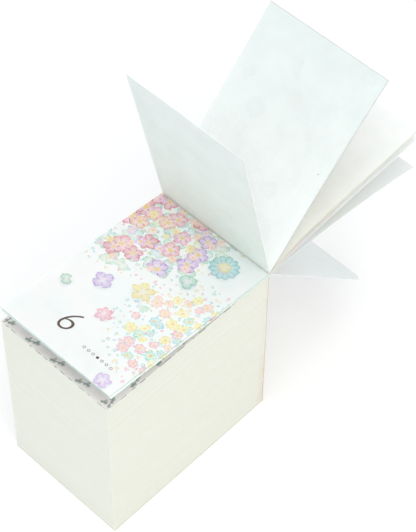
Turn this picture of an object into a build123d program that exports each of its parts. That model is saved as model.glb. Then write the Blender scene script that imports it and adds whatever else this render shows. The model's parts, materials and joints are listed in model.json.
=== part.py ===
from build123d import *
import os
from math import cos, radians, sin

os.makedirs("parts", exist_ok=True)

# Driving sizes in millimetres, angles in degrees
leaf_width = 50.0            # across the page, along X
leaf_length = 75.0           # from the glued edge to the free edge, along Y
leaf_thickness = 0.213       # card-weight paper
cover_thickness = 0.30       # cover stock, a little heavier than the leaves
backing_thickness = 0.75     # card under the last leaf
glue_thickness = 0.25        # padding-glue film over the spine
air_gap = 0.12               # air between neighbouring leaf roots along the glue lip
root_gap = 0.05              # from the glue film to the rounded root of a turned leaf
lay_gap = 0.05               # air left under a leaf that lies flat
bend_root = 1.0              # straight stretch of a bent leaf at its root
flat_tip = 2.0               # straight stretch at the free edge of a leaf that bends all along
cover_corner = 5.0           # radius of the cover's two free corners
lip_tail_angle = 12.0        # lip left past the cover
least_curl = 1.5             # least outside radius of the curled film, in film thicknesses
turned_day_count = 7         # January's days that are no longer flat in the block

# Leaves of each month, in the order they are torn off
day_counts = {
    "january": 31,
    "february": 28,
    "march": 31,
    "april": 30,
    "may": 31,
    "june": 30,
    "july": 31,
    "august": 31,
    "september": 30,
    "october": 31,
    "november": 30,
    "december": 31,
}
bound_counts = dict(day_counts)
bound_counts["january"] -= turned_day_count

# How each turned leaf lies: the angle at its glued edge, where round the curled glue lip that edge
# sits (none for the leaf below the lip), the angle it bends through and the length that the bend is
# spread over (none for a bend all along the leaf)
turned_leaves = {
    "leaf_07": {"angle": 6.3, "lip_angle": None, "bend_angle": 0.0, "spread": None},
    "leaf_06": {"angle": 6.5, "lip_angle": 20.0, "bend_angle": 0.0, "spread": None},
    "leaf_05": {"angle": 77.6, "lip_angle": 58.0, "bend_angle": 0.0, "spread": None},
    "leaf_04": {"angle": 133.0, "lip_angle": 110.0, "bend_angle": 5.3, "spread": None},
    "leaf_03": {"angle": 157.9, "lip_angle": 141.0, "bend_angle": 16.8, "spread": 23.0},
    "leaf_02": {"angle": 172.5, "lip_angle": 172.0, "bend_angle": 5.3, "spread": None},
    "leaf_01": {"angle": 181.2, "lip_angle": 203.0, "bend_angle": 10.8, "spread": None},
    "cover_leaf": {"angle": 225.9, "lip_angle": 238.0, "bend_angle": 0.0, "spread": None},
}

# Leaves that have moved on their loosened glue: slewed round, free edge to the right, and slid to the right
loosened_leaves = {
    "leaf_07": {"slew": 0.8, "aside": 0.45},
    "leaf_06": {"slew": 0.55, "aside": 0.0},
}

# Derived heights and places
bound_leaves = sum(bound_counts.values())
block_top = backing_thickness + bound_leaves * leaf_thickness
spine_y = leaf_length / 2
low_root_z = block_top + lay_gap + leaf_thickness / 2
next_root_z = low_root_z + leaf_thickness + lay_gap
side_plane = Plane(origin=(-leaf_width / 2, 0, 0), x_dir=(0, 1, 0), z_dir=(1, 0, 0))


def thickness_of(name):
    if name == "cover_leaf":
        return cover_thickness
    return leaf_thickness


def along(angle):
    # Way a leaf runs from its glued edge: 0 lies on the block, 180 is turned right over
    return Vector(-cos(radians(angle)), sin(radians(angle)))


def across(angle):
    # Way the upper face of a leaf looks when it lies on the block
    return Vector(sin(radians(angle)), cos(radians(angle)))


def seat_of(name):
    # From the face of the glue film to the hinge line: the leaf's rounded root and its gap
    return thickness_of(name) / 2 + root_gap


def slew_step(name):
    # How far the middle of a slewed root stands forward, so that its nearer end still clears the glue
    if name not in loosened_leaves:
        return 0.0
    return leaf_width / 2 * sin(radians(loosened_leaves[name]["slew"]))


# The lip is just round enough for every pair of neighbouring leaf roots to clear each other
lip_names = [name for name, shape in turned_leaves.items() if shape["lip_angle"] is not None]
lip_radius = 0.0
for near, far in zip(lip_names, lip_names[1:]):
    step = (thickness_of(near) + thickness_of(far)) / 2 + air_gap
    turn = radians(turned_leaves[far]["lip_angle"] - turned_leaves[near]["lip_angle"])
    lip_radius = max(lip_radius, step / turn - min(seat_of(near), seat_of(far)))
lip_radius = max(lip_radius, glue_thickness * least_curl)
first_name = lip_names[0]
first_rise = (lip_radius + seat_of(first_name)) * sin(radians(turned_leaves[first_name]["lip_angle"]))
lip_centre = Vector(spine_y + lip_radius, next_root_z - first_rise)

# Hinge line of every turning leaf, as a point in the side view (Y, Z)
hinge_points = {"leaf_07": Vector(spine_y - seat_of("leaf_07") - slew_step("leaf_07"), low_root_z)}
for name in lip_names:
    reach = lip_radius + seat_of(name)
    lip_point = lip_centre + along(turned_leaves[name]["lip_angle"]) * reach
    hinge_points[name] = lip_point - Vector(slew_step(name), 0)


def leaf_outline(name):
    # Side view of one leaf: rounded root on its hinge line, an even bend if it has one, free edge
    shape = turned_leaves[name]
    half = thickness_of(name) / 2
    angle = shape["angle"]
    turn = shape["bend_angle"]
    end_angle = angle + turn
    hinge = hinge_points[name]
    length = leaf_length - seat_of(name)
    low = hinge - across(angle) * half
    high = hinge + across(angle) * half
    edges = [ThreePointArc(low, hinge - along(angle) * half, high)]
    if turn:
        spread = shape["spread"] or length - bend_root - flat_tip
        radius = spread / radians(turn)
        bend_from = hinge + along(angle) * bend_root
        bend_centre = bend_from + across(angle) * radius
        bend_to = bend_centre - across(end_angle) * radius
        tip = bend_to + along(end_angle) * (length - bend_root - spread)
    else:
        tip = hinge + along(angle) * length
    for side in (-half, half):
        start = hinge + across(angle) * side
        finish = tip + across(end_angle) * side
        if turn:
            curve_from = bend_from + across(angle) * side
            curve_mid = bend_centre - across(angle + turn / 2) * (radius - side)
            curve_to = bend_to + across(end_angle) * side
            edges.append(Line(start, curve_from))
            edges.append(ThreePointArc(curve_from, curve_mid, curve_to))
            edges.append(Line(curve_to, finish))
        else:
            edges.append(Line(start, finish))
    edges.append(Line(tip - across(end_angle) * half, tip + across(end_angle) * half))
    return make_face(edges)


def leaf_solid(name):
    leaf = extrude(side_plane * leaf_outline(name), leaf_width).solid()
    if name == "cover_leaf":
        through = across(turned_leaves[name]["angle"])
        leaf = leaf.fillet(cover_corner, leaf.edges().filter_by(Axis((0, 0, 0), (0, through.X, through.Y))))
    if name in loosened_leaves:
        upright = Axis((0, hinge_points[name].X, 0), (0, 0, 1))
        leaf = Pos(loosened_leaves[name]["aside"], 0, 0) * leaf.rotate(upright, loosened_leaves[name]["slew"])
    return leaf


def write(name, solids):
    for solid in solids:
        solid.label = name
    shape = solids[0] if len(solids) == 1 else Compound(label=name, children=solids)
    export_step(shape, os.path.join("parts", name + ".step"))


# Turned leaves
for name in turned_leaves:
    write(name, [leaf_solid(name)])
    point = hinge_points[name]
    print(name, "hinge at y %.4f z %.4f" % (point.X, point.Y))

# Backing card
card = Box(leaf_width, leaf_length, backing_thickness, align=(Align.CENTER, Align.CENTER, Align.MIN))
write("backing_card", [card.solid()])

# Month packs, the last month lowest, one solid for each leaf
leaf_bottom = backing_thickness
for month in reversed(bound_counts):
    pack = []
    for day in range(bound_counts[month]):
        sheet = Box(leaf_width, leaf_length, leaf_thickness, align=(Align.CENTER, Align.CENTER, Align.MIN))
        pack.append((Pos(0, 0, leaf_bottom) * sheet).solid())
        leaf_bottom += leaf_thickness
    write("leaves_" + month, pack)

# Glue film: flat over the spine, its free top curled back under the turned leaves
lip_end = turned_leaves["cover_leaf"]["lip_angle"] + lip_tail_angle
lip_inner = lip_radius - glue_thickness
outer_from = lip_centre + along(0) * lip_radius
outer_mid = lip_centre + along(lip_end / 2) * lip_radius
outer_to = lip_centre + along(lip_end) * lip_radius
inner_from = lip_centre + along(0) * lip_inner
inner_mid = lip_centre + along(lip_end / 2) * lip_inner
inner_to = lip_centre + along(lip_end) * lip_inner
film_edges = [
    Line((spine_y, 0), outer_from),
    ThreePointArc(outer_from, outer_mid, outer_to),
    Line(outer_to, inner_to),
    ThreePointArc(inner_to, inner_mid, inner_from),
    Line(inner_from, (spine_y + glue_thickness, 0)),
    Line((spine_y + glue_thickness, 0), (spine_y, 0)),
]
write("glue_binding", [extrude(side_plane * make_face(film_edges), leaf_width).solid()])

print("block top %.3f, lip radius %.3f" % (block_top, lip_radius))
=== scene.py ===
import bpy
import json
import math
import random
from mathutils import Matrix, Vector, noise


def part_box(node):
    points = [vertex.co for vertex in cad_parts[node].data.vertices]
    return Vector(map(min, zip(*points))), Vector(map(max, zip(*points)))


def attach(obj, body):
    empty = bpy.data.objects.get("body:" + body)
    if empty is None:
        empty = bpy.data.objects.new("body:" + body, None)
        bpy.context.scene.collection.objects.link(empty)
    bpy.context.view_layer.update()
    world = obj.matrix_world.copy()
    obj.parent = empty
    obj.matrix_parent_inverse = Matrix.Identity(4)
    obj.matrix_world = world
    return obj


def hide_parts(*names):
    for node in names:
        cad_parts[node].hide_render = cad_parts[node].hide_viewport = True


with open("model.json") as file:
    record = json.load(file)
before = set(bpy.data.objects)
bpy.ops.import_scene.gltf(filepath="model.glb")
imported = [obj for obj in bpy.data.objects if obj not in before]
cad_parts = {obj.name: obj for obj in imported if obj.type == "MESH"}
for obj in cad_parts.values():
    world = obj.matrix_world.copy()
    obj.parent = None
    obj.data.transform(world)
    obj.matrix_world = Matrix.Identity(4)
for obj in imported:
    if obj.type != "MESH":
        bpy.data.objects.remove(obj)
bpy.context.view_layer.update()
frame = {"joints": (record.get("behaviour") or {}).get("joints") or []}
mm = 0.001  # the page is thought of in millimetres, Blender works in metres
scene = bpy.context.scene
hingeAt = {joint["child"]: Vector(joint["pos_m"]) for joint in frame["joints"]}
hingeSlew = {joint["child"]: math.atan2(-joint["axis"][1], -joint["axis"][0]) for joint in frame["joints"]}
print("frame loaded, hinges:", len(hingeAt))

# settings that many nodes share
add = {"operation": "ADD"}
subtract = {"operation": "SUBTRACT"}
multiply = {"operation": "MULTIPLY"}
smaller = {"operation": "MINIMUM"}
larger = {"operation": "MAXIMUM"}
absolute = {"operation": "ABSOLUTE"}
lessThan = {"operation": "LESS_THAN"}
sameAs = {"operation": "COMPARE"}
lengthOf = {"operation": "LENGTH"}
distanceTo = {"operation": "DISTANCE"}
colorMix = {"data_type": "RGBA"}
multiplyMix = {"data_type": "RGBA", "blend_type": "MULTIPLY", 0: 1.0}
smoothRange = {"interpolation_type": "SMOOTHSTEP"}
flatNoise = {"noise_dimensions": "2D"}


# small tools

def hexColor(text):
    parts = [int(text[i:i + 2], 16) / 255 for i in (1, 3, 5)]
    linear = [c / 12.92 if c <= 0.04045 else ((c + 0.055) / 1.055) ** 2.4 for c in parts]
    return (*linear, 1.0)


# adds a node, or takes one that is there, and gives it its settings and links
def addNode(tree, kind, settings=(), links=()):
    node = tree.nodes.new("ShaderNode" + kind) if isinstance(kind, str) else kind
    for key, value in dict(settings).items():
        if isinstance(key, int) or key in node.inputs:
            node.inputs[key].default_value = hexColor(value) if isinstance(value, str) else value
        else:
            setattr(node, key, value)
    for key, source in dict(links).items():
        if isinstance(source, bpy.types.Node):  # a node stands for the first output that it shows
            source = next(socket for socket in source.outputs if socket.enabled)
        tree.links.new(source, node.inputs[key])
    return node


def newMaterial(name):
    material = bpy.data.materials.new(name)
    material.use_nodes = True
    tree = material.node_tree
    return material, tree, tree.nodes["Principled BSDF"]


def newGroup(name, inputs, outputs):
    tree = bpy.data.node_groups.new(name, "ShaderNodeTree")
    for way, sockets in (("INPUT", inputs), ("OUTPUT", outputs)):
        for label, kind in sockets.items():
            tree.interface.new_socket(label, in_out=way, socket_type="NodeSocket" + kind)
    return tree, tree.nodes.new("NodeGroupInput"), tree.nodes.new("NodeGroupOutput")


# the place on a piece in millimetres, or in steps of a pattern that has so many to the millimetre
def placeInMm(tree, steps=1.0):
    place = addNode(tree, "TexCoord")
    scale = steps / mm
    return addNode(tree, "Mapping", {"Scale": (scale, scale, scale)}, {"Vector": place.outputs["Object"]})


# 1 where the camera, a reflection or glass sees the surface, 0 where it lights the object
def seenDirectly(tree):
    rays = addNode(tree, "LightPath").outputs
    seen = rays["Is Camera Ray"]
    for kind in ("Is Glossy Ray", "Is Transmission Ray"):
        seen = addNode(tree, "Math", {**add, "use_clamp": True}, {0: seen, 1: rays[kind]})
    return seen


# hard steps from one paint to the next, each from its own place on the ramp
def fillRamp(ramp, paints):
    ramp.color_ramp.interpolation = "CONSTANT"
    stops = ramp.color_ramp.elements
    for start, paint in paints.items():
        stop = stops.new(start) if start else stops[0]
        stop.color = hexColor(paint)
    stops.remove(stops[-1])


def deselectAll():
    if bpy.context.object and bpy.context.object.mode != "OBJECT":
        bpy.ops.object.mode_set(mode="OBJECT")
    bpy.ops.object.select_all(action="DESELECT")


def applyModifier(piece, kind, settings):
    bpy.context.view_layer.objects.active = piece
    bpy.ops.object.modifier_add(type=kind)
    modifier = piece.modifiers[-1]
    for key, value in settings.items():
        setattr(modifier, key, value)
    bpy.ops.object.modifier_apply(modifier=modifier.name)


def smoothFaces(piece, degrees):
    deselectAll()
    piece.select_set(True)
    bpy.context.view_layer.objects.active = piece
    bpy.ops.object.shade_smooth_by_angle(angle=math.radians(degrees))


# print: one painted rosette, its mask, how far out a point is, and the line round and between its petals
# a range is a Map Range node's sockets: 1 and 2 are read, 3 and 4 given out, 0 to 1 where left out
rosetteStamp = {"roundness": 0.7, "softEdge": {1: 1.03, 2: 0.93}, "outline": {1: 0.84, 2: 0.95},
                "vein": {1: 0.26, 2: 0.06, 4: 0.7}, "veinFrom": {1: 0.3, 2: 0.6}}


def makeStampGroup():
    tree, given, result = newGroup(
        "paintedRosette",
        {"Offset": "Vector", "Radius": "Float", "Petals": "Float", "Depth": "Float", "Spin": "Float"},
        {"Mask": "Float", "Reach": "Float", "Line": "Float"})
    offset, radius, petals, depth, spin = given.outputs[:5]
    x, y = addNode(tree, "SeparateXYZ", (), {0: offset}).outputs[:2]
    away = addNode(tree, "VectorMath", lengthOf, {0: offset})
    angle = addNode(tree, "Math", {"operation": "ARCTAN2"}, {0: y, 1: x})
    turned = addNode(tree, "Math", add, {0: angle, 1: spin})
    halfPetals = addNode(tree, "Math", {**multiply, 1: 0.5}, {0: petals})
    wave = addNode(tree, "Math", multiply, {0: turned, 1: halfPetals})
    cosine = addNode(tree, "Math", {"operation": "COSINE"}, {0: wave})
    lobe = addNode(tree, "Math", absolute, {0: cosine})
    rounded = addNode(tree, "Math", {"operation": "POWER", 1: rosetteStamp["roundness"]}, {0: lobe})
    notch = addNode(tree, "Math", {**subtract, 0: 1.0}, {1: rounded})
    cut = addNode(tree, "Math", multiply, {0: notch, 1: depth})
    left = addNode(tree, "Math", {**subtract, 0: 1.0}, {1: cut})
    edge = addNode(tree, "Math", multiply, {0: left, 1: radius})
    reach = addNode(tree, "Math", {"operation": "DIVIDE"}, {0: away, 1: edge})
    mask = addNode(tree, "MapRange", {**smoothRange, **rosetteStamp["softEdge"]}, {0: reach})
    outline = addNode(tree, "MapRange", {**smoothRange, **rosetteStamp["outline"]}, {0: reach})
    between = addNode(tree, "MapRange", {**smoothRange, **rosetteStamp["vein"]}, {0: lobe})
    outer = addNode(tree, "MapRange", rosetteStamp["veinFrom"], {0: reach})
    vein = addNode(tree, "Math", multiply, {0: between, 1: outer})
    cutOnly = addNode(tree, "Math", {**multiply, "use_clamp": True}, {0: vein, 1: petals})
    line = addNode(tree, "Math", larger, {0: outline, 1: cutOnly})
    addNode(tree, result, (), {"Mask": mask, "Reach": reach, "Line": line})
    return tree


# print: a transparent wash, pale at the heart, full at the rim and drawn round in its own darker tone
watercolour = {"heart": "#fdf7fa", "fill": {1: 0.2, 2: 0.95, 3: 0.25, 4: 0.95},
               "grain": {1: 0.25, 2: 0.75, 3: 0.5}}


def makeWashGroup():
    tree, given, result = newGroup(
        "watercolourWash",
        {"Under": "Color", "Paint": "Color", "Mask": "Float", "Reach": "Float", "Line": "Float",
         "Grain": "Float", "Strength": "Float"},
        {"Color": "Color"})
    under, paint, mask, reach, line, grain, strength = given.outputs[:7]
    fill = addNode(tree, "MapRange", watercolour["fill"], {0: reach})
    petal = addNode(tree, "Mix", {**colorMix, 6: watercolour["heart"]}, {0: fill, 7: paint})
    drawn = addNode(tree, "Mix", multiplyMix, {0: line, 6: petal, 7: paint})
    uneven = addNode(tree, "MapRange", watercolour["grain"], {0: grain})
    cover = addNode(tree, "Math", multiply, {0: mask, 1: uneven})
    factor = addNode(tree, "Math", multiply, {0: cover, 1: strength})
    over = addNode(tree, "Mix", colorMix, {0: factor, 6: under, 7: drawn})
    addNode(tree, result, (), {"Color": over})
    return tree


# places and sizes in millimetres from the page's free left corner, steps of a pattern to the millimetre
pagePrint = {
    "paper": "#fafefd",
    "wash": "#f0fafa",
    "cloudSteps": 0.06,
    "cloud": {1: 0.35, 2: 0.65, 4: 0.9},
    "grainSteps": 0.9,
    "waverSteps": 0.45,  # the hand's waver, and how far it goes
    "waver": 1.4,
    "seedStep": (37.0, 53.0, 0.0),  # from one day's picture to the next
    "scatter": 0.7,
    "shiftSlope": 1.7,
    "fullReach": 0.9,  # the paint of an eye is as full as near a rim
    "strength": 0.9,
    "bouquet": {"corner": (4.0, 72.0), "reach": 30.0},
    "meadow": {"corner": (51.0, 33.0), "reach": 20.0},
    "leafPaints": ["#9fd0b6", "#b7dcbc", "#93cdc9", "#d2e2a4", "#a9d9d2"],
    "blossomPaints": ["#ee9aae", "#de7392", "#cfa4df", "#f4b7a4", "#f0a7c2"],
    "smallPaints": ["#f4e77a", "#ffd9d0", "#e9c8ee", "#f7c9b4"],
    "meadowPaints": ["#f4e650", "#f6ee8e", "#f7c6ab", "#a4e0cc", "#93d8e2", "#f0aebd"],
    "dotPaints": ["#7fc6cf", "#e88aa0", "#e9cf4c", "#86c9a4"],
    "pollen": "#efc732",
    "pollenCore": 0.7,
    "shade": {"paint": "#b9b3cf", "shift": (-0.5, 0.8, 0.0), "outer": 1.2, "inner": 0.5, "depth": 0.3},
    "ink": "#5a4a44",
    "rosettes": [
        {"at": (38.0, 66.0), "radius": 5.4, "petals": 12.0, "depth": 0.16, "spin": 0.2, "paint": "#8fd3d6"},
        {"at": (38.0, 66.0), "radius": 2.4, "petals": 8.0, "depth": 0.3, "spin": 0.0, "paint": "#f3e98c"},
        {"at": (27.0, 38.5), "radius": 4.2, "petals": 5.0, "depth": 0.62, "spin": 0.5, "paint": "#efdb38"},
        {"at": (14.5, 32.5), "radius": 3.8, "petals": 4.0, "depth": 0.45, "spin": 0.3, "paint": "#c1a0de"},
        {"at": (34.0, 52.5), "radius": 3.3, "petals": 3.0, "depth": 0.42, "spin": 1.1, "paint": "#86cfb0"},
        {"at": (25.0, 22.5), "radius": 3.0, "petals": 6.0, "depth": 0.4, "spin": 0.0, "paint": "#ef9fb2"},
        {"at": (6.0, 24.0), "radius": 2.5, "petals": 2.0, "depth": 0.7, "spin": 0.7, "paint": "#8cc9a2"},
        {"at": (44.0, 3.0), "radius": 3.2, "petals": 5.0, "depth": 0.35, "spin": 0.9, "paint": "#d3b5e6"},
    ],
    "weekMark": {"start": (29.5, 8.2), "days": 7, "pitch": 2.0, "dot": 0.5, "soft": 1.15,
                 "ring": (0.62, 0.78), "slack": 0.4},
}

# bouquet and meadow: which paints, how large the cells are, and the range of sizes in millimetres
paintedFields = [
    {"area": "bouquet", "cell": 5.2, "grow": 3.5, "petals": 2.0, "depth": 0.75, "size": (2.6, 3.6),
     "paints": "leafPaints", "pollen": 0.0, "shift": 3.0, "strength": 0.8},
    {"area": "bouquet", "cell": 3.1, "grow": 6.0, "petals": 1.0, "depth": 0.0, "size": (0.35, 0.7),
     "paints": "dotPaints", "pollen": 0.0, "shift": 43.0, "strength": 0.8},
    {"area": "bouquet", "cell": 7.4, "grow": 0.0, "petals": 5.0, "depth": 0.3, "size": (3.2, 4.4),
     "paints": "blossomPaints", "pollen": 0.3, "shift": 11.0, "strength": 0.95},
    {"area": "bouquet", "cell": 6.3, "grow": 1.0, "petals": 6.0, "depth": 0.34, "size": (1.3, 2.2),
     "paints": "smallPaints", "pollen": 0.34, "shift": 17.0, "strength": 0.95},
    {"area": "meadow", "cell": 2.5, "grow": 6.0, "petals": 1.0, "depth": 0.0, "size": (0.3, 0.7),
     "paints": "dotPaints", "pollen": 0.0, "shift": 23.0, "strength": 0.8},
    {"area": "meadow", "cell": 4.2, "grow": 0.0, "petals": 7.0, "depth": 0.32, "size": (1.5, 2.3),
     "paints": "meadowPaints", "pollen": 0.34, "shift": 31.0, "strength": 0.9},
]


# print: pastel page of generic blossoms, leaves, dots and rosettes, drawn in page millimetres
def makePageGroup(stamp, wash):
    tree, given, result = newGroup(
        "pastelPage",
        {"Page": "Vector", "Sheet": "Vector", "Seed": "Float", "Weekday": "Float", "Marks": "Float"},
        {"Color": "Color"})
    page, sheet, seed, weekday, marks = given.outputs[:5]
    seedStep = addNode(tree, "VectorMath", {"operation": "SCALE", 0: pagePrint["seedStep"]}, {"Scale": seed})
    hand = addNode(tree, "TexNoise", {**flatNoise, "Scale": pagePrint["waverSteps"], "Detail": 2.0},
                   {"Vector": page})
    centred = addNode(tree, "VectorMath", {**subtract, 1: (0.5, 0.5, 0.5)}, {0: hand.outputs["Color"]})
    waver = addNode(tree, "VectorMath", {"operation": "SCALE", "Scale": pagePrint["waver"]}, {0: centred})
    wavered = addNode(tree, "VectorMath", add, {0: page, 1: waver})
    place = addNode(tree, "VectorMath", {**multiply, 1: (1.0, 1.0, 0.0)}, {0: wavered})
    shifted = addNode(tree, "VectorMath", add, {0: place, 1: seedStep})
    grain = addNode(tree, "TexNoise", {**flatNoise, "Scale": pagePrint["grainSteps"], "Detail": 5.0},
                    {"Vector": shifted})
    cloud = addNode(tree, "TexNoise", {**flatNoise, "Scale": pagePrint["cloudSteps"], "Detail": 2.0},
                    {"Vector": shifted})
    cloudy = addNode(tree, "MapRange", pagePrint["cloud"], {0: cloud})
    color = addNode(tree, "Mix", {**colorMix, 6: pagePrint["paper"], 7: pagePrint["wash"]}, {0: cloudy})
    for field in paintedFields:
        area = pagePrint[field["area"]]
        offset = (field["shift"], field["shift"] * pagePrint["shiftSlope"], 0.0)
        spot = addNode(tree, "VectorMath", {**add, 1: offset}, {0: shifted})
        cells = addNode(tree, "TexVoronoi", {"voronoi_dimensions": "2D", "Scale": 1.0 / field["cell"],
                                             "Randomness": pagePrint["scatter"]}, {"Vector": spot})
        local = addNode(tree, "VectorMath", subtract, {0: spot, 1: cells.outputs["Position"]})
        dice = addNode(tree, "SeparateColor", (), {0: cells.outputs["Color"]})
        sizeDice, spinDice, paintDice = dice.outputs
        small, large = field["size"]
        radius = addNode(tree, "MapRange", {3: small, 4: large}, {0: sizeDice})
        spin = addNode(tree, "Math", {**multiply, 1: 2 * math.pi}, {0: spinDice})
        bloom = addNode(tree, "Group",
                        {"node_tree": stamp, "Petals": field["petals"], "Depth": field["depth"]},
                        {"Offset": local, "Radius": radius, "Spin": spin})
        home = addNode(tree, "VectorMath", subtract, {0: place, 1: local})
        fromCorner = addNode(tree, "VectorMath", {**distanceTo, 1: (*area["corner"], 0.0)}, {0: home})
        kept = addNode(tree, "Math", {**lessThan, 1: area["reach"] + field["grow"]}, {0: fromCorner})
        mask = addNode(tree, "Math", multiply, {0: bloom.outputs["Mask"], 1: kept})
        paints = pagePrint[field["paints"]]
        ramp = addNode(tree, "ValToRGB", (), {0: paintDice})
        fillRamp(ramp, {i / len(paints): paint for i, paint in enumerate(paints)})
        color = addNode(tree, "Group", {"node_tree": wash, "Strength": field["strength"]},
                        {"Under": color, "Paint": ramp, "Mask": mask, "Reach": bloom.outputs["Reach"],
                         "Line": bloom.outputs["Line"], "Grain": grain})
        if field["pollen"]:
            core = field["pollen"] * pagePrint["pollenCore"]
            eye = addNode(tree, "MapRange", {**smoothRange, 1: field["pollen"], 2: core},
                          {0: bloom.outputs["Reach"]})
            eyeKept = addNode(tree, "Math", multiply, {0: eye, 1: kept})
            color = addNode(tree, "Group",
                            {"node_tree": wash, "Paint": pagePrint["pollen"], "Reach": pagePrint["fullReach"],
                             "Strength": pagePrint["strength"]},
                            {"Under": color, "Mask": eyeKept, "Grain": grain})
    shade = pagePrint["shade"]  # each rosette stands on a soft painted shadow
    for rosette in pagePrint["rosettes"]:
        local = addNode(tree, "VectorMath", {**subtract, 1: (*rosette["at"], 0.0)}, {0: place})
        bloom = addNode(tree, "Group",
                        {"node_tree": stamp, "Radius": rosette["radius"], "Petals": rosette["petals"],
                         "Depth": rosette["depth"], "Spin": rosette["spin"]}, {"Offset": local})
        below = addNode(tree, "VectorMath", {**add, 1: shade["shift"]}, {0: local})
        away = addNode(tree, "VectorMath", lengthOf, {0: below})
        outer, inner = (rosette["radius"] * shade[side] for side in ("outer", "inner"))
        shaded = addNode(tree, "MapRange", {**smoothRange, 1: outer, 2: inner, 4: shade["depth"]}, {0: away})
        color = addNode(tree, "Mix", {**colorMix, 7: shade["paint"]}, {0: shaded, 6: color})
        color = addNode(tree, "Group",
                        {"node_tree": wash, "Paint": rosette["paint"], "Strength": pagePrint["strength"]},
                        {"Under": color, "Mask": bloom.outputs["Mask"], "Reach": bloom.outputs["Reach"],
                         "Line": bloom.outputs["Line"], "Grain": grain})
    mark = pagePrint["weekMark"]  # seven small rings, the day's own one filled
    halfRow = (mark["days"] - 1) / 2
    ringInner, ringOuter = (mark["dot"] * share for share in mark["ring"])
    fromStart = addNode(tree, "VectorMath", {**subtract, 1: (*mark["start"], 0.0)}, {0: sheet})
    rowX, rowY = addNode(tree, "SeparateXYZ", (), {0: fromStart}).outputs[:2]
    step = addNode(tree, "Math", {"operation": "DIVIDE", 1: mark["pitch"]}, {0: rowX})
    number = addNode(tree, "Math", {"operation": "FLOOR"}, {0: step})
    within = addNode(tree, "Math", {**sameAs, 1: halfRow, 2: halfRow + mark["slack"]}, {0: number})
    chosen = addNode(tree, "Math", {**sameAs, 2: mark["slack"]}, {0: number, 1: weekday})
    part = addNode(tree, "Math", {"operation": "FRACT"}, {0: step})
    middle = addNode(tree, "Math", {**subtract, 1: 0.5}, {0: part})
    sideways = addNode(tree, "Math", {**multiply, 1: mark["pitch"]}, {0: middle})
    fromDot = addNode(tree, "CombineXYZ", (), {0: sideways, 1: rowY})
    dotAway = addNode(tree, "VectorMath", lengthOf, {0: fromDot})
    disc = addNode(tree, "MapRange", {1: mark["dot"] * mark["soft"], 2: mark["dot"]}, {0: dotAway})
    hollow = addNode(tree, "MapRange", {1: ringInner, 2: ringOuter}, {0: dotAway})
    ringOrDisc = addNode(tree, "Math", larger, {0: hollow, 1: chosen})
    markInk = addNode(tree, "Math", multiply, {0: disc, 1: ringOrDisc})
    for only in (within, marks):
        markInk = addNode(tree, "Math", multiply, {0: markInk, 1: only})
    color = addNode(tree, "Mix", {**colorMix, 7: pagePrint["ink"]}, {0: markInk, 6: color})
    addNode(tree, result, (), {"Color": color})
    return tree


stampGroup = makeStampGroup()
washGroup = makeWashGroup()
pageGroup = makePageGroup(stampGroup, washGroup)
print("print groups ready")

leafStock = {"length": 75.0, "width": 50.0, "thickness": 0.213, "coverThickness": 0.30, "rootGap": 0.05,
             "bendRoot": 1.0, "flatTip": 2.0, "coverCorner": 5.0, "straightRows": 0.85, "cockle": 0.16,
             "cockleSize": 26.0, "cockleStride": 40.0, "across": 24, "along": 60, "smooth": 30.0}

# uncoated white paper, calendered: matt, faintly cool, soft fibre cloudiness and a barely felt tooth
# the rim band's width in millimetres is painted shade on leaf_04 and leaf_05 and print stain on leaf_03
leafPaper = {"fibre": 0.35, "cloud": 9.0, "formation": {1: 0.3, 2: 0.7, 3: 0.965}, "showThrough": 0.3,
             "tooth": {"Strength": 0.25, "Distance": 0.004 * mm}, "burr": 0.5, "speckSize": 0.18,
             "speckInk": "#7d7676", "weekdayShift": 4,
             "finish": {"Roughness": 0.72, "Specular IOR Level": 0.3},
             "glow": {"Subsurface Weight": 0.7, "Subsurface Radius": (1.0, 1.0, 1.0),
                      "Subsurface Scale": 0.3 * mm, "IOR": 1.45}}


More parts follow.
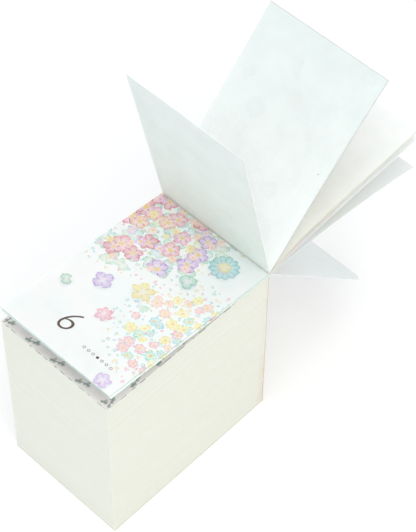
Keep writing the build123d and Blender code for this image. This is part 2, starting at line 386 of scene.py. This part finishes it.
def makeLeafMaterial(name, leaf, printed):
    material, tree, shader = newMaterial(name)
    width = leafStock["width"]
    length = leafStock["length"]
    uv = addNode(tree, "UVMap", {"uv_map": "UVMap"})
    sheet = addNode(tree, "Mapping", {"Scale": (width, length, 1.0)}, {"Vector": uv})
    page = sheet
    if leaf.get("mirrored"):  # the picture the other way round, the marks as they are
        page = addNode(tree, "Mapping", {"Location": (width, 0.0, 0.0), "Scale": (-width, length, 1.0)},
                       {"Vector": uv})
    weekday = 0.0
    if leaf["day"]:
        weekday = (int(leaf["day"]) + leafPaper["weekdayShift"]) % pagePrint["weekMark"]["days"]
    picture = addNode(tree, "Group", {"node_tree": pageGroup, "Seed": leaf["seed"], "Weekday": weekday,
                                      "Marks": 1.0 if printed and leaf["day"] else 0.0},
                      {"Page": page, "Sheet": sheet})
    cloud = addNode(tree, "TexNoise", {**flatNoise, "Scale": 1.0 / leafPaper["cloud"], "Detail": 3.0},
                    {"Vector": page})
    fibre = addNode(tree, "TexNoise", {**flatNoise, "Scale": 1.0 / leafPaper["fibre"], "Detail": 4.0},
                    {"Vector": page})
    formation = addNode(tree, "MapRange", leafPaper["formation"], {0: cloud})
    base = picture
    if not printed:  # the blank back, with the print showing through as a grey shadow
        grey = addNode(tree, "HueSaturation", {"Saturation": leafPaper["showThrough"]}, {"Color": picture})
        glueEndToneAndShade, freeEndToneAndShade = leaf["back"]
        along = addNode(tree, "SeparateXYZ", (), {0: uv}).outputs[1]
        # the back's paper tone from the glue end to the free end, with the painted shade and light set in the
        # table
        back = addNode(tree, "Mix", {**colorMix, 6: freeEndToneAndShade, 7: glueEndToneAndShade}, {0: along})
        base = addNode(tree, "Mix", {**colorMix, 0: leaf["ghost"]}, {6: back, 7: grey})
        if "rim" in leaf:  # a band along the rim: a painted grey shade line on leaf_04 and leaf_05, a yellow-grey stain of print run off the edge on leaf_03
            shade, share, freeToo = leaf["rim"]
            fromLeft, fromFree = addNode(tree, "SeparateXYZ", (), {0: sheet}).outputs[:2]
            toEdge = addNode(tree, "Math", {**subtract, 0: width}, {1: fromLeft})
            if freeToo:
                toEdge = addNode(tree, "Math", smaller, {0: toEdge, 1: fromFree})
            burr = addNode(tree, "MapRange", {1: leafPaper["burr"], 2: 0.0, 4: share}, {0: toEdge})
            base = addNode(tree, "Mix", {**colorMix, 7: shade}, {0: burr, 6: base})
        if "speck" in leaf:  # a grain of ink set off from the next sheet
            fromSpeck = addNode(tree, "VectorMath", {**distanceTo, 1: (*leaf["speck"], 0.0)}, {0: sheet})
            speck = addNode(tree, "Math", {**lessThan, 1: leafPaper["speckSize"]}, {0: fromSpeck})
            base = addNode(tree, "Mix", {**colorMix, 7: leafPaper["speckInk"]}, {0: speck, 6: base})
    tinted = addNode(tree, "Mix", multiplyMix, {6: base, 7: formation})
    bump = addNode(tree, "Bump", leafPaper["tooth"], {"Height": fibre})
    # thin paper passes some light
    addNode(tree, shader, {**leafPaper["finish"], **leafPaper["glow"]},
            {"Base Color": tinted, "Normal": bump})
    return material


# guillotined paper edge: the same stock cut across, duller, and stained where the print runs off the page;
# on leaf_06 and leaf_07 the dark teal stain also holds painted shade
cutEdge = {"blotSteps": 0.14, "blot": (0.62, 0.7), "shareShift": 0.3,
           "finish": {"Roughness": 0.8, "Specular IOR Level": 0.2}}


def makeCutEdgeMaterial(name, plain, stain, share):
    material, tree, shader = newMaterial(name)
    low, high = (level - share * cutEdge["shareShift"] for level in cutEdge["blot"])
    place = placeInMm(tree, cutEdge["blotSteps"])
    blot = addNode(tree, "TexNoise", {"Scale": 1.0, "Detail": 2.0}, {"Vector": place})
    held = addNode(tree, "MapRange", {1: low, 2: high}, {0: blot})
    color = addNode(tree, "Mix", {**colorMix, 6: plain, 7: stain}, {0: held})
    addNode(tree, shader, cutEdge["finish"], {"Base Color": color})
    return material


# turned leaves: the angle at the glued edge, the bend and, where it isn't all along the leaf, the length it
# is spread over, as in the part, then the print, the edge's two tones and how much of it is stained, and the
# back's tone at the glue and at the free edge; a rim has a tone, a strength and whether the free edge has it.
# The back tones hold painted shade and light: leaf_05 and leaf_01 are painted darker as shade, leaf_04 is
# painted lighter at its glue end where leaf_05 shades it, leaf_02 is painted whiter for the strip under
# leaf_03, and leaf_03 is painted warm at its glue end for light thrown back from the print
turnedLeaves = {
    # leaf_06 and leaf_07's dark teal edges are print run off the page with painted shade in them
    "leaf_07": {"angle": 6.3, "bend": 0.0, "day": "7", "seed": 7.0, "edge": ("#cfe9de", "#9fd2bd", 0.8),
                "back": ("#f5f9f8", "#f1f7f4"), "ghost": 0.12, "cockle": 6},
    "leaf_06": {"angle": 6.5, "bend": 0.0, "day": "6", "seed": 0.0, "edge": ("#c3e2d6", "#8fc4b0", 0.7),
                "back": ("#f5f9f8", "#f1f7f4"), "ghost": 0.12, "cockle": 6},
    "leaf_05": {"angle": 77.6, "bend": 0.0, "day": "5", "seed": 2.0, "edge": ("#fbfcfb", "#f3f6f4", 0.3),
                "back": ("#e0e8e1", "#e2eae7"), "ghost": 0.07, "cockle": 5, "rim": ("#bdb8b9", 0.3, True),
                "lean": 1.25},
    "leaf_04": {"angle": 133.0, "bend": 5.3, "day": "4", "seed": 3.0, "edge": ("#cdcbca", "#b7adab", 0.5),
                "back": ("#f8fffe", "#e1e9e8"), "ghost": 0.09, "cockle": 4, "rim": ("#bdb8b9", 0.45, True),
                "speck": (46.5, 38.5), "warp": -3.4},
    "leaf_03": {"angle": 157.9, "bend": 16.8, "spread": 23.0, "day": "3", "seed": 4.0, "mirrored": True,
                "edge": ("#fcfdf6", "#f5f6e2", 0.3), "back": ("#f5f4eb", "#f5f9f7"), "ghost": 0.05,
                "cockle": 3, "rim": ("#c4c7a0", 0.65, False)},
    "leaf_02": {"angle": 172.5, "bend": 5.3, "day": "2", "seed": 5.0, "edge": ("#fefffe", "#f8fcfa", 0.3),
                "back": ("#fffffb", "#fefffc"), "ghost": 0.02, "cockle": 2},
    "leaf_01": {"angle": 181.2, "bend": 10.8, "day": "1", "seed": 6.0, "mirrored": True,
                "edge": ("#f0f4f2", "#dfe4ee", 0.3), "back": ("#ebedec", "#f1f5f4"), "ghost": 0.10,
                "cockle": 1},
    "cover_leaf": {"angle": 225.9, "bend": 0.0, "day": "", "seed": 9.0, "edge": ("#eef3f2", "#d8e4e4", 0.3),
                   "back": ("#f4ffff", "#f4ffff"), "ghost": 0.06, "cockle": 8},
}


def leafThickness(name):
    return leafStock["coverThickness"] if name == "cover_leaf" else leafStock["thickness"]


def leafReach(name):
    return leafStock["length"] - leafThickness(name) / 2 - leafStock["rootGap"]


# a point on a leaf: millimetres across from its middle, along from its hinge and up from its middle layer
def leafPoint(name, across, along, lift):
    leaf = turnedLeaves[name]
    angle = math.radians(leaf["angle"])
    bend = math.radians(leaf["bend"])
    root = leafStock["bendRoot"]
    share = along / leafStock["length"]
    straight = min(along, root) if bend else along
    y = -math.cos(angle) * straight
    z = math.sin(angle) * straight
    if bend:
        spread = leaf.get("spread") or leafReach(name) - root - leafStock["flatTip"]
        radius = spread / bend
        turn = min(max(along - root, 0.0), spread) / radius
        y += (math.sin(angle) - math.sin(angle + turn)) * radius
        z += (math.cos(angle) - math.cos(angle + turn)) * radius
        angle += turn
        rest = max(along - root - spread, 0.0)
        y -= math.cos(angle) * rest
        z += math.sin(angle) * rest
    seat = Vector((across, along, leaf["cockle"] * leafStock["cockleStride"])) / leafStock["cockleSize"]
    wave = noise.noise(seat) * leafStock["cockle"] * share
    across += leaf.get("lean", 0.0) * share  # pulled a little to the right
    # the free left corner has curled forward
    wave += leaf.get("warp", 0.0) * share ** 2 * (0.5 - across / leafStock["width"])
    y += math.sin(angle) * (lift + wave)
    z += math.cos(angle) * (lift + wave)
    slew = hingeSlew[name]  # loosened leaves lie a little out of square
    slewedX = across * math.cos(slew) - y * math.sin(slew)
    slewedY = across * math.sin(slew) + y * math.cos(slew)
    return hingeAt[name] + Vector((slewedX, slewedY, z)) * mm


# the cover's free corners are rounded: its last rows follow the two arcs
def coverPlace(side, down, reach):
    radius = leafStock["coverCorner"]
    straight = leafStock["straightRows"]
    if down <= straight:
        return side * leafStock["width"], down / straight * (reach - radius)
    turn = (down - straight) / (1.0 - straight) * math.pi / 2
    width = leafStock["width"] - 2 * radius * (1.0 - math.cos(turn))
    return side * width, reach - radius * (1.0 - math.sin(turn))


def makeLeaf(name):
    leaf = turnedLeaves[name]
    deselectAll()
    bpy.ops.mesh.primitive_grid_add(x_subdivisions=leafStock["across"], y_subdivisions=leafStock["along"],
                                    size=1.0)
    piece = bpy.context.object
    piece.name = name + "_paper"
    reach = leafReach(name)
    for vertex in piece.data.vertices:  # the grid's +Y edge goes to the glue, its top is the printed side
        across = vertex.co.x * leafStock["width"]
        along = (0.5 - vertex.co.y) * reach
        if name == "cover_leaf":
            across, along = coverPlace(vertex.co.x, 0.5 - vertex.co.y, reach)
        vertex.co = leafPoint(name, across, along, 0.0)
    for material in (makeLeafMaterial(name + "_printed", leaf, True),
                     makeLeafMaterial(name + "_back", leaf, False),
                     makeCutEdgeMaterial(name + "_edge", *leaf["edge"])):
        piece.data.materials.append(material)
    applyModifier(piece, "SOLIDIFY", {"thickness": leafThickness(name) * mm, "offset": 0.0,
                                      "material_offset": 1, "material_offset_rim": 2})
    smoothFaces(piece, leafStock["smooth"])
    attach(piece, name)
    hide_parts(name)


for leafName in turnedLeaves:
    makeLeaf(leafName)
print("turned leaves made:", len(turnedLeaves))


# day numbers: offset ink, warm brown-black, flat on the paper
inkNumber = {"at": (19.0, 12.0), "height": 9.5, "capitals": 0.7, "thin": 0.25, "film": 0.02, "slant": 0.18,
             "curveSteps": 6, "ink": "#43342f", "worn": "#6b5850", "mottleSteps": 0.9, "rough": 0.55}


def makeInk():
    material, tree, shader = newMaterial("offsetInk")
    place = placeInMm(tree, inkNumber["mottleSteps"])
    mottle = addNode(tree, "TexNoise", {"Scale": 1.0, "Detail": 3.0}, {"Vector": place})
    color = addNode(tree, "Mix", {**colorMix, 6: inkNumber["ink"], 7: inkNumber["worn"]}, {0: mottle})
    addNode(tree, shader, {"Roughness": inkNumber["rough"]}, {"Base Color": color})
    return material


inkMaterial = makeInk()


def makeNumber(name):
    deselectAll()
    bpy.ops.object.text_add()
    text = bpy.context.object.data
    text.body = turnedLeaves[name]["day"]
    text.size = inkNumber["height"] / inkNumber["capitals"]  # capitals stand at this share of the font size
    text.align_x = "CENTER"
    text.align_y = "CENTER"
    text.shear = inkNumber["slant"]
    text.extrude = inkNumber["film"]
    text.offset = -inkNumber["thin"]  # a fine pen line
    text.resolution_u = inkNumber["curveSteps"]
    bpy.ops.object.convert(target="MESH")
    piece = bpy.context.object
    piece.name = name + "_day_number"
    left, low = inkNumber["at"]
    top = leafThickness(name) / 2
    for vertex in piece.data.vertices:
        across = left + vertex.co.x - leafStock["width"] / 2
        along = leafReach(name) - low - vertex.co.y
        vertex.co = leafPoint(name, across, along, top + vertex.co.z)
    piece.data.materials.clear()
    piece.data.materials.append(inkMaterial)
    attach(piece, name)


for leafName, leaf in turnedLeaves.items():
    if leaf["day"]:
        makeNumber(leafName)
print("day numbers set")


# trimmed block: the guillotined edges of a year's sheets, cream white, streaked sheet by sheet, with flecks
# of print and a glue stain that fades with height; stretches are pattern steps to the millimetre on X, Y, Z
blockEdge = {"paper": "#f1f2e8", "cool": "#eef0e5", "glue": "#ecd9c5", "bandStretch": (0.02, 0.02, 0.7),
             "band": {1: 0.3, 2: 0.7}, "streak": {3: 0.975}, "fleckStretch": (0.22, 0.22, 4.7),
             "fleck": {1: 0.66, 2: 0.74, 4: 0.12},
             "fleckPaints": {0.0: "#d9a8b0", 0.4: "#a9cfc4", 0.75: "#c9bfae"},
             "soak": 4.4, "soakDepth": 0.75, "drip": {1: 34.0, 2: 20.0, 3: 0.25},
             "finish": {"Roughness": 0.82, "Specular IOR Level": 0.2}}


def makeBlockEdgeMaterial():
    material, tree, shader = newMaterial("trimmedBlockEdge")
    place = placeInMm(tree)
    y, z = addNode(tree, "SeparateXYZ", (), {0: place}).outputs[1:3]
    sheet = addNode(tree, "Math", {"operation": "DIVIDE", 1: leafStock["thickness"]}, {0: z})
    sheetNumber = addNode(tree, "Math", {"operation": "FLOOR"}, {0: sheet})
    sheetDice = addNode(tree, "TexWhiteNoise", {"noise_dimensions": "1D"}, {"W": sheetNumber})
    stretch = addNode(tree, "Mapping", {"Scale": blockEdge["bandStretch"]}, {"Vector": place})
    bands = addNode(tree, "TexNoise", {"Scale": 1.0, "Detail": 4.0, "Roughness": 0.65}, {"Vector": stretch})
    bandTone = addNode(tree, "MapRange", blockEdge["band"], {0: bands})
    paper = addNode(tree, "Mix", {**colorMix, 6: blockEdge["paper"], 7: blockEdge["cool"]}, {0: bandTone})
    streak = addNode(tree, "MapRange", blockEdge["streak"], {0: sheetDice})
    streaked = addNode(tree, "Mix", multiplyMix, {6: paper, 7: streak})
    fleckPlace = addNode(tree, "Mapping", {"Scale": blockEdge["fleckStretch"]}, {"Vector": place})
    fleck = addNode(tree, "TexNoise", {"Scale": 1.0, "Detail": 1.0}, {"Vector": fleckPlace})
    fleckMask = addNode(tree, "MapRange", blockEdge["fleck"], {0: fleck})
    fleckHue = addNode(tree, "ValToRGB", (), {0: sheetDice})
    fillRamp(fleckHue, blockEdge["fleckPaints"])
    flecked = addNode(tree, "Mix", colorMix, {0: fleckMask, 6: streaked, 7: fleckHue})
    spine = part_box("glue_binding")[0].y / mm
    nearGlue = {**smoothRange, 1: spine - blockEdge["soak"], 2: spine, 4: blockEdge["soakDepth"]}
    soak = addNode(tree, "MapRange", nearGlue, {0: y})
    drip = addNode(tree, "MapRange", blockEdge["drip"], {0: z})
    for share in (drip, bandTone):
        soak = addNode(tree, "Math", multiply, {0: soak, 1: share})
    color = addNode(tree, "Mix", {**colorMix, 7: blockEdge["glue"]}, {0: soak, 6: flecked})
    addNode(tree, shader, blockEdge["finish"], {"Base Color": color})
    return material


# the next day's page: pale mauve, a trailing grey-green vine round its border, specks at its cut edge, and a
# painted shade from the raised leaves above it that leaves it lighter near its cut edge
nextPage = {"ground": "#ebe7e5", "cloud": "#dbd7d5", "cloudSteps": 0.3, "paintedLightEdge": "#f1eeeb",
            "paintedLightEdgeWidth": 2.2, "line": "#6d7a73", "leaf": "#a9b6ae", "inset": 2.1, "swing": 0.7,
            "swingLength": 11.0, "stem": {1: 0.168, 2: 0.12, 4: 0.9}, "leafPitch": 2.9,
            "leafShape": {"Radius": 1.15, "Petals": 3.0, "Depth": 0.8, "Spin": 0.6},
            "sprigPitch": 11.6, "sprig": {1: -0.1, 2: 0.3}, "speck": "#57514e", "speckSteps": 0.35,
            "speckHere": {1: 0.5, 2: 0.6, 4: 0.85}, "speckEdge": {1: 0.4, 2: 0.25}}


def makeNextPageMaterial():
    material, tree, shader = newMaterial("nextDayPrint")
    place = placeInMm(tree)
    x, y = addNode(tree, "SeparateXYZ", (), {0: place}).outputs[:2]
    fromFront = addNode(tree, "Math", {**add, 1: leafStock["length"] / 2}, {0: y})
    sideX = addNode(tree, "Math", absolute, {0: x})
    fromSide = addNode(tree, "Math", {**subtract, 0: leafStock["width"] / 2}, {1: sideX})
    inward = addNode(tree, "Math", smaller, {0: fromFront, 1: fromSide})
    front = addNode(tree, "Math", lessThan, {0: fromFront, 1: fromSide})
    alongEdge = addNode(tree, "Mix", {"data_type": "FLOAT"}, {0: front, 2: y, 3: x})
    swingTurn = 2 * math.pi / nextPage["swingLength"]
    swingPhase = addNode(tree, "Math", {**multiply, 1: swingTurn}, {0: alongEdge})
    swing = addNode(tree, "Math", {"operation": "SINE"}, {0: swingPhase})
    stemAt = addNode(tree, "Math", {"operation": "MULTIPLY_ADD", 1: nextPage["swing"], 2: nextPage["inset"]},
                     {0: swing})
    offStem = addNode(tree, "Math", subtract, {0: inward, 1: stemAt})
    stemFar = addNode(tree, "Math", absolute, {0: offStem})
    stem = addNode(tree, "MapRange", nextPage["stem"], {0: stemFar})
    step = addNode(tree, "Math", {"operation": "DIVIDE", 1: nextPage["leafPitch"]}, {0: alongEdge})
    part = addNode(tree, "Math", {"operation": "FRACT"}, {0: step})
    middle = addNode(tree, "Math", {**subtract, 1: 0.5}, {0: part})
    sideways = addNode(tree, "Math", {**multiply, 1: nextPage["leafPitch"]}, {0: middle})
    fromLeaf = addNode(tree, "CombineXYZ", (), {0: sideways, 1: offStem})
    leaves = addNode(tree, "Group", {"node_tree": stampGroup, **nextPage["leafShape"]}, {"Offset": fromLeaf})
    leafHere, leafInk = leaves.outputs["Mask"], leaves.outputs["Line"]
    cloud = addNode(tree, "TexNoise", {**flatNoise, "Scale": nextPage["cloudSteps"], "Detail": 4.0},
                    {"Vector": place})
    color = addNode(tree, "Mix", {**colorMix, 6: nextPage["ground"], 7: nextPage["cloud"]}, {0: cloud})
    # lighter near the cut edge and darker further in: painted shade of the raised leaves above
    paintedLightEdge = addNode(tree, "MapRange", {**smoothRange, 1: nextPage["paintedLightEdgeWidth"], 2: 0.0}, {0: inward})
    sprigTurn = 2 * math.pi / nextPage["sprigPitch"]
    sprigPhase = addNode(tree, "Math", {**multiply, 1: sprigTurn}, {0: alongEdge})
    sprigWave = addNode(tree, "Math", {"operation": "COSINE"}, {0: sprigPhase})
    # short sprigs with bare paper between them
    sprig = addNode(tree, "MapRange", {**smoothRange, **nextPage["sprig"]}, {0: sprigWave})
    leafMask = addNode(tree, "Math", multiply, {0: leafHere, 1: sprig})
    leafLine = addNode(tree, "Math", multiply, {0: leafHere, 1: leafInk})
    vineMask = addNode(tree, "Math", larger, {0: stem, 1: leafLine})
    inkMask = addNode(tree, "Math", multiply, {0: vineMask, 1: sprig})
    speckNoise = addNode(tree, "TexNoise", {**flatNoise, "Scale": nextPage["speckSteps"], "Detail": 2.0},
                         {"Vector": place})
    speckHere = addNode(tree, "MapRange", nextPage["speckHere"], {0: speckNoise})
    atEdge = addNode(tree, "MapRange", nextPage["speckEdge"], {0: inward})
    speck = addNode(tree, "Math", multiply, {0: speckHere, 1: atEdge})
    for layer, mask in (("paintedLightEdge", paintedLightEdge), ("leaf", leafMask), ("line", inkMask), ("speck", speck)):
        color = addNode(tree, "Mix", {**colorMix, 7: nextPage[layer]}, {0: mask, 6: color})
    addNode(tree, shader, leafPaper["finish"], {"Base Color": color})
    return material


blockEdgeMaterial = makeBlockEdgeMaterial()
nextPageMaterial = makeNextPageMaterial()

# month packs: one sheet modelled and arrayed, then each sheet nudged as a stack settles
sheetPack = {"corner": 0.25, "cornerSteps": 2, "inset": 0.10, "air": 0.006, "nudge": 0.012, "drift": 0.006,
             "hold": 0.97}
monthNames = ["december", "november", "october", "september", "august", "july", "june", "may", "april",
              "march", "february", "january"]
settle = random.Random(12)


def makeMonth(month, drift):
    node = "leaves_" + month
    low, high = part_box(node)
    pitch = leafStock["thickness"] * mm
    inset = sheetPack["inset"] * mm
    count = round((high.z - low.z) / pitch)
    deselectAll()
    bpy.ops.mesh.primitive_cube_add(size=1.0)
    piece = bpy.context.object
    piece.name = node + "_sheets"
    piece.scale = (high.x - low.x - 2 * inset, high.y - low.y - inset, pitch - sheetPack["air"] * mm)
    piece.location = ((low.x + high.x) / 2, (low.y + high.y + inset) / 2, low.z + pitch / 2)
    bpy.ops.object.transform_apply(location=True, rotation=False, scale=True)
    bpy.ops.object.mode_set(mode="EDIT")
    bpy.ops.mesh.select_mode(type="EDGE")
    bpy.ops.mesh.select_all(action="DESELECT")
    bpy.ops.object.mode_set(mode="OBJECT")
    for edge in piece.data.edges:  # the four upright corners
        first, second = (piece.data.vertices[i].co for i in edge.vertices)
        edge.select = abs(first.x - second.x) < 1e-9 and abs(first.y - second.y) < 1e-9
    bpy.ops.object.mode_set(mode="EDIT")
    bpy.ops.mesh.bevel(offset=sheetPack["corner"] * mm, segments=sheetPack["cornerSteps"], affect="EDGES")
    bpy.ops.object.mode_set(mode="OBJECT")
    perSheet = len(piece.data.vertices)
    applyModifier(piece, "ARRAY", {"count": count, "use_relative_offset": False, "use_constant_offset": True,
                                   "constant_offset_displace": (0.0, 0.0, pitch)})
    for sheet in range(count):  # the stack leans slowly to and fro, and each sheet is a little out of line
        drift = [(away + settle.gauss(0.0, sheetPack["drift"])) * sheetPack["hold"] for away in drift]
        out = [(away + settle.gauss(0.0, sheetPack["nudge"])) / sheetPack["inset"] for away in drift]
        moveX, moveY = (max(-1.0, min(1.0, share)) * inset for share in out)
        for vertex in piece.data.vertices[sheet * perSheet:(sheet + 1) * perSheet]:
            vertex.co.x += moveX
            if vertex.co.y < 0.0:  # the glued edges are knocked up flush, only the free ones vary
                vertex.co.y += moveY
    piece.data.materials.append(blockEdgeMaterial)
    if month == "january":
        piece.data.materials.append(nextPageMaterial)
        top = max(vertex.co.z for vertex in piece.data.vertices)
        for face in piece.data.polygons:
            if face.normal.z > 0.9 and abs(face.center.z - top) < pitch / 4:
                face.material_index = 1
    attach(piece, "block")
    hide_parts(node)
    return drift


stackDrift = [0.0, 0.0]
for monthName in monthNames:
    stackDrift = makeMonth(monthName, stackDrift)
print("month packs stacked:", len(monthNames))


# backing card: white-lined chipboard, pale and a little grey where its pulp shows
backingCard = {"white": "#eeece4", "grey": "#dcd8cc", "pulpSteps": 1.6, "rough": 0.8, "round": 0.12,
               "roundSteps": 3, "smooth": 40.0, "bump": {"Strength": 0.3, "Distance": 0.01 * mm}}


def makeCardMaterial():
    material, tree, shader = newMaterial("whiteLinedCard")
    place = placeInMm(tree)
    pulp = addNode(tree, "TexNoise", {"Scale": backingCard["pulpSteps"], "Detail": 5.0}, {"Vector": place})
    color = addNode(tree, "Mix", {**colorMix, 6: backingCard["white"], 7: backingCard["grey"]}, {0: pulp})
    bump = addNode(tree, "Bump", backingCard["bump"], {"Height": pulp})
    addNode(tree, shader, {"Roughness": backingCard["rough"]}, {"Base Color": color, "Normal": bump})
    return material


def makeBackingCard():
    low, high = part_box("backing_card")
    deselectAll()
    bpy.ops.mesh.primitive_cube_add(size=1.0)
    piece = bpy.context.object
    piece.name = "backing_card_board"
    piece.scale = high - low
    piece.location = (low + high) / 2
    bpy.ops.object.transform_apply(location=True, rotation=False, scale=True)
    applyModifier(piece, "BEVEL", {"width": backingCard["round"] * mm, "segments": backingCard["roundSteps"],
                                   "limit_method": "NONE"})
    piece.data.materials.append(makeCardMaterial())
    smoothFaces(piece, backingCard["smooth"])
    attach(piece, "block")
    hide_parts("backing_card")


makeBackingCard()
print("backing card made")


# padding glue: brushed white latex glue, satin, the sheet edges telegraphing through it
paddingGlue = {"milk": "#efeae0", "thin": "#e7dfd2", "lip": "#eee8de", "tone": {1: 0.35, 2: 0.68},
               "brushStretch": (1.0 / 18, 1.0, 1.0 / 2.2), "sheetStretch": (0.05, 0.05, 1.0 / 0.6),
               "lipFade": (-0.1, 0.2), "bump": {"Strength": 0.6, "Distance": 0.12 * mm},
               "finish": {"Roughness": 0.42, "IOR": 1.47}, "thickness": 0.25, "lastLip": 238.0, "tail": 12.0,
               "across": 60, "upright": 90, "curl": 40, "backFrom": 0.6, "uneven": 0.05,
               "unevenSteps": (0.09, 0.26), "unevenSeed": 3.0, "smooth": 40.0}


def makeGlueMaterial():
    material, tree, shader = newMaterial("paddingGlue")
    place = placeInMm(tree)
    z = addNode(tree, "SeparateXYZ", (), {0: place}).outputs[2]
    brushPlace = addNode(tree, "Mapping", {"Scale": paddingGlue["brushStretch"]}, {"Vector": place})
    brush = addNode(tree, "TexNoise", {"Scale": 1.0, "Detail": 4.0, "Distortion": 0.4},
                    {"Vector": brushPlace})
    sheetPlace = addNode(tree, "Mapping", {"Scale": paddingGlue["sheetStretch"]}, {"Vector": place})
    sheets = addNode(tree, "TexNoise", {"Scale": 1.0, "Detail": 2.0}, {"Vector": sheetPlace})
    tone = addNode(tree, "MapRange", paddingGlue["tone"], {0: brush})
    brushed = addNode(tree, "Mix", {**colorMix, 6: paddingGlue["milk"], 7: paddingGlue["thin"]}, {0: tone})
    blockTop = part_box("leaves_january")[1].z / mm
    lipFrom, lipTo = (blockTop + step for step in paddingGlue["lipFade"])
    onLip = addNode(tree, "MapRange", {1: lipFrom, 2: lipTo}, {0: z})
    # the curled lip has one even tone, without brush marks
    color = addNode(tree, "Mix", {**colorMix, 7: paddingGlue["lip"]}, {0: onLip, 6: brushed})
    height = addNode(tree, "Math", add, {0: brush, 1: sheets})
    bump = addNode(tree, "Bump", paddingGlue["bump"], {"Height": height})
    addNode(tree, shader, paddingGlue["finish"], {"Base Color": color, "Normal": bump})
    return material


def makeGlue():
    low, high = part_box("glue_binding")
    thickness = paddingGlue["thickness"]
    upright = paddingGlue["upright"]
    width = (high.x - low.x) / mm
    spine = low.y / mm
    lipRadius = (high.y - low.y) / mm / 2
    lipY = spine + lipRadius
    lipZ = high.z / mm - lipRadius
    turn = math.radians(paddingGlue["lastLip"] + paddingGlue["tail"])
    rows = upright + paddingGlue["curl"]
    deselectAll()
    bpy.ops.mesh.primitive_grid_add(x_subdivisions=paddingGlue["across"], y_subdivisions=rows, size=1.0)
    piece = bpy.context.object
    piece.name = "glue_binding_film"
    for vertex in piece.data.vertices:  # the film's face looks at the leaves
        row = (vertex.co.y + 0.5) * rows
        y = spine
        z = lipZ * row / upright
        if row > upright:
            angle = turn * (row - upright) / paddingGlue["curl"]
            y = lipY - math.cos(angle) * lipRadius
            z = lipZ + math.sin(angle) * lipRadius
        vertex.co = Vector((vertex.co.x * width, y, z)) * mm
    applyModifier(piece, "SOLIDIFY", {"thickness": thickness * mm, "offset": -1.0})
    backFrom = (spine + thickness * paddingGlue["backFrom"]) * mm
    acrossSteps, upSteps = paddingGlue["unevenSteps"]
    for vertex in piece.data.vertices:  # the brushed back is uneven, the face on the sheets is not
        if vertex.co.y > backFrom and vertex.co.z < lipZ * mm:
            x, z = vertex.co.x / mm, vertex.co.z / mm
            spot = Vector((x * acrossSteps, z * upSteps, paddingGlue["unevenSeed"]))
            vertex.co.y += noise.noise(spot) * paddingGlue["uneven"] * mm
    piece.data.materials.append(makeGlueMaterial())
    smoothFaces(piece, paddingGlue["smooth"])
    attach(piece, "block")
    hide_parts("glue_binding")


makeGlue()
print("glue film made")


# floor, soft light and camera: the floor is seen a little lighter than it is lit, and white further out
studio = {"floor": 3.0, "white": "#fbfbfc", "rough": 0.9, "lift": {1: 0.35, 2: 1.1, 3: 0.10, 4: 0.45},
          "world": 0.62, "sky": "#fbfdff", "lampTarget": (0.0, 0.0, 0.06)}


def makeFloor():
    deselectAll()
    bpy.ops.mesh.primitive_plane_add(size=studio["floor"], location=(0.0, 0.0, 0.0))
    floor = bpy.context.object
    floor.name = "floor"
    material, tree, shader = newMaterial("whiteTable")
    place = addNode(tree, "TexCoord")
    away = addNode(tree, "VectorMath", lengthOf, {0: place.outputs["Object"]})
    lift = addNode(tree, "MapRange", studio["lift"], {0: away})
    glow = addNode(tree, "Math", multiply, {0: lift, 1: seenDirectly(tree)})
    addNode(tree, shader, {"Base Color": studio["white"], "Roughness": studio["rough"],
                           "Specular IOR Level": 0.0, "Emission Color": (1.0, 1.0, 1.0, 1.0)},
            {"Emission Strength": glow})
    floor.data.materials.append(material)


def makeWorld():
    world = bpy.data.worlds.new("studioWhite")
    scene.world = world
    world.use_nodes = True
    tree = world.node_tree
    strength = addNode(tree, "MapRange", {3: studio["world"]}, {0: seenDirectly(tree)})
    addNode(tree, tree.nodes["Background"], {"Color": studio["sky"]}, {"Strength": strength})


lamps = {
    "softboxFront": {"place": (0.61, -0.35, 0.90), "size": 0.7, "power": 2.3, "tint": "#fffdf7"},
    "softboxAbove": {"place": (0.05, 0.02, 1.10), "size": 0.7, "power": 2.5, "tint": "#fffefc"},
    "fillFront": {"place": (-0.05, -1.05, 0.40), "size": 0.9, "power": 1.85, "tint": "#f1f8ff"},
    "fillLeft": {"place": (-0.92, 0.05, 0.75), "size": 0.9, "power": 0.9, "tint": "#fbfdff"},
    "softboxRight": {"place": (0.92, 0.05, 0.75), "size": 0.9, "power": 1.85, "tint": "#fff9ee"},
}


def makeLamps():
    for name, lamp in lamps.items():
        data = bpy.data.lights.new(name, "AREA")
        data.shape = "SQUARE"
        data.size = lamp["size"]
        data.energy = lamp["power"]
        data.color = hexColor(lamp["tint"])[:3]
        light = bpy.data.objects.new(name, data)
        scene.collection.objects.link(light)
        light.location = lamp["place"]
        light.rotation_mode = "QUATERNION"
        light.rotation_quaternion = (Vector(studio["lampTarget"]) - light.location).to_track_quat("-Z", "Y")


# the photograph's viewpoint, matched on the block's corners and the turned leaves
photoView = {"azimuth": 43.40, "elevation": 53.20, "roll": 0.72, "distance": 658.51, "clipStart": 0.01,
             "target": (2.977, 31.13, 67.52), "focalPixels": 1940.07, "longSide": 532, "sensor": 36.0}


def makeCamera():
    data = bpy.data.cameras.new("photoCamera")
    data.sensor_width = photoView["sensor"]
    data.lens = photoView["focalPixels"] * photoView["sensor"] / photoView["longSide"]
    data.clip_start = photoView["clipStart"]
    camera = bpy.data.objects.new("photoCamera", data)
    scene.collection.objects.link(camera)
    azimuth, elevation, roll = (math.radians(photoView[k]) for k in ("azimuth", "elevation", "roll"))
    back = Vector((math.sin(azimuth) * math.cos(elevation), -math.cos(azimuth) * math.cos(elevation),
                   math.sin(elevation)))
    level = Vector((math.cos(azimuth), math.sin(azimuth), 0.0))
    upright = back.cross(level)
    right = level * math.cos(roll) + upright * math.sin(roll)
    up = upright * math.cos(roll) - level * math.sin(roll)
    turn = Matrix((right, up, back)).transposed().to_4x4()
    eye = (Vector(photoView["target"]) + back * photoView["distance"]) * mm
    camera.matrix_world = Matrix.Translation(eye) @ turn
    scene.camera = camera


makeFloor()
makeWorld()
makeLamps()
makeCamera()
scene.view_settings.view_transform = "Standard"
print("studio set")
